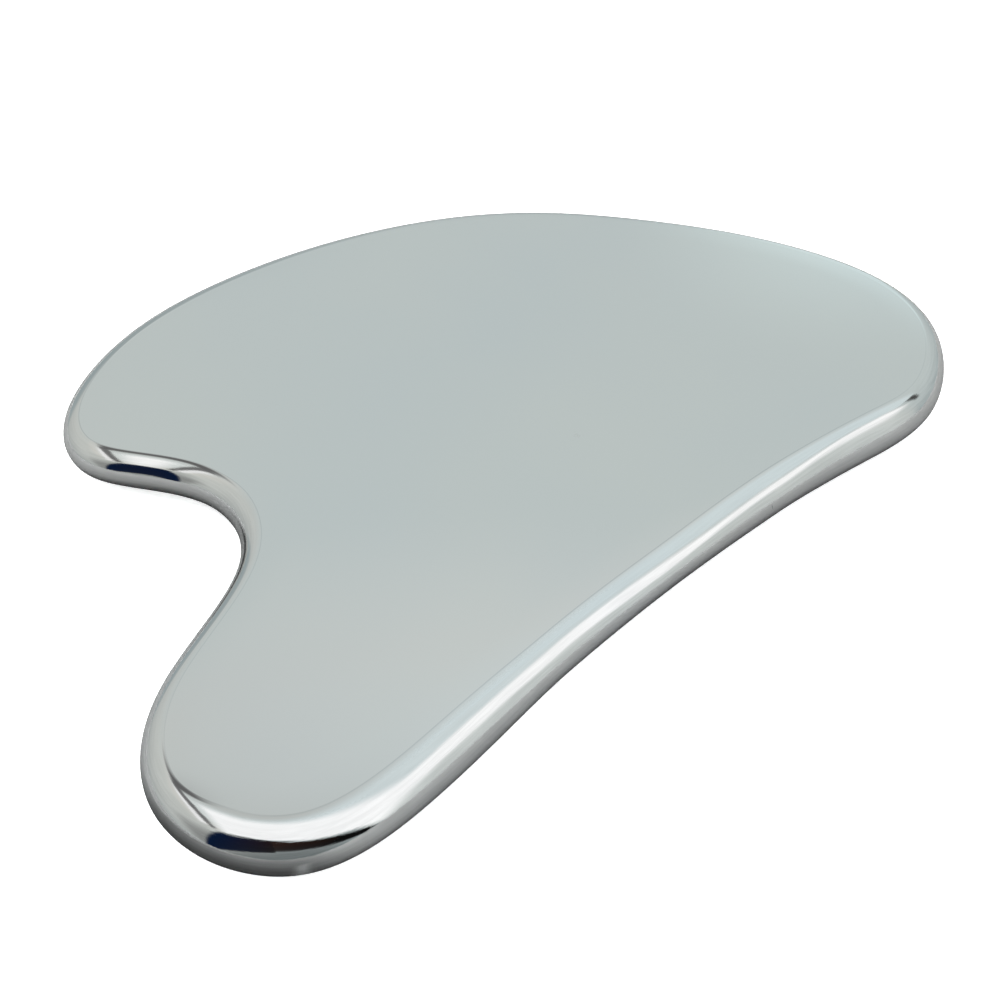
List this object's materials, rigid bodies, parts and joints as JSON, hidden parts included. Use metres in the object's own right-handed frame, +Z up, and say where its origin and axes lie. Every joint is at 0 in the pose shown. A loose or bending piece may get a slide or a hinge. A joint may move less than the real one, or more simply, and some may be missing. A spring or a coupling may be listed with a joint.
{
  "type": "gua sha scraper",
  "caption": "Flat steel gua sha scraper with a mirror polish: rounded rim all round, long hollow scraping edge, and a notch between a large and a small lobe.",
  "frame": {"origin": "middle of the plate's bounding box in X and Y, on the flat underside it lies on", "axes": "+X along the plate's length, from the lobes to the nose; +Y from the scraping edge to the convex back; +Z up, out of the top face"},
  "size_m": [0.09, 0.063, 0.0046],
  "materials": {
    "polished_steel": "polished"
  },
  "bodies": {
    "root": {"scraper_plate": "polished_steel"}
  },
  "joints": []
}
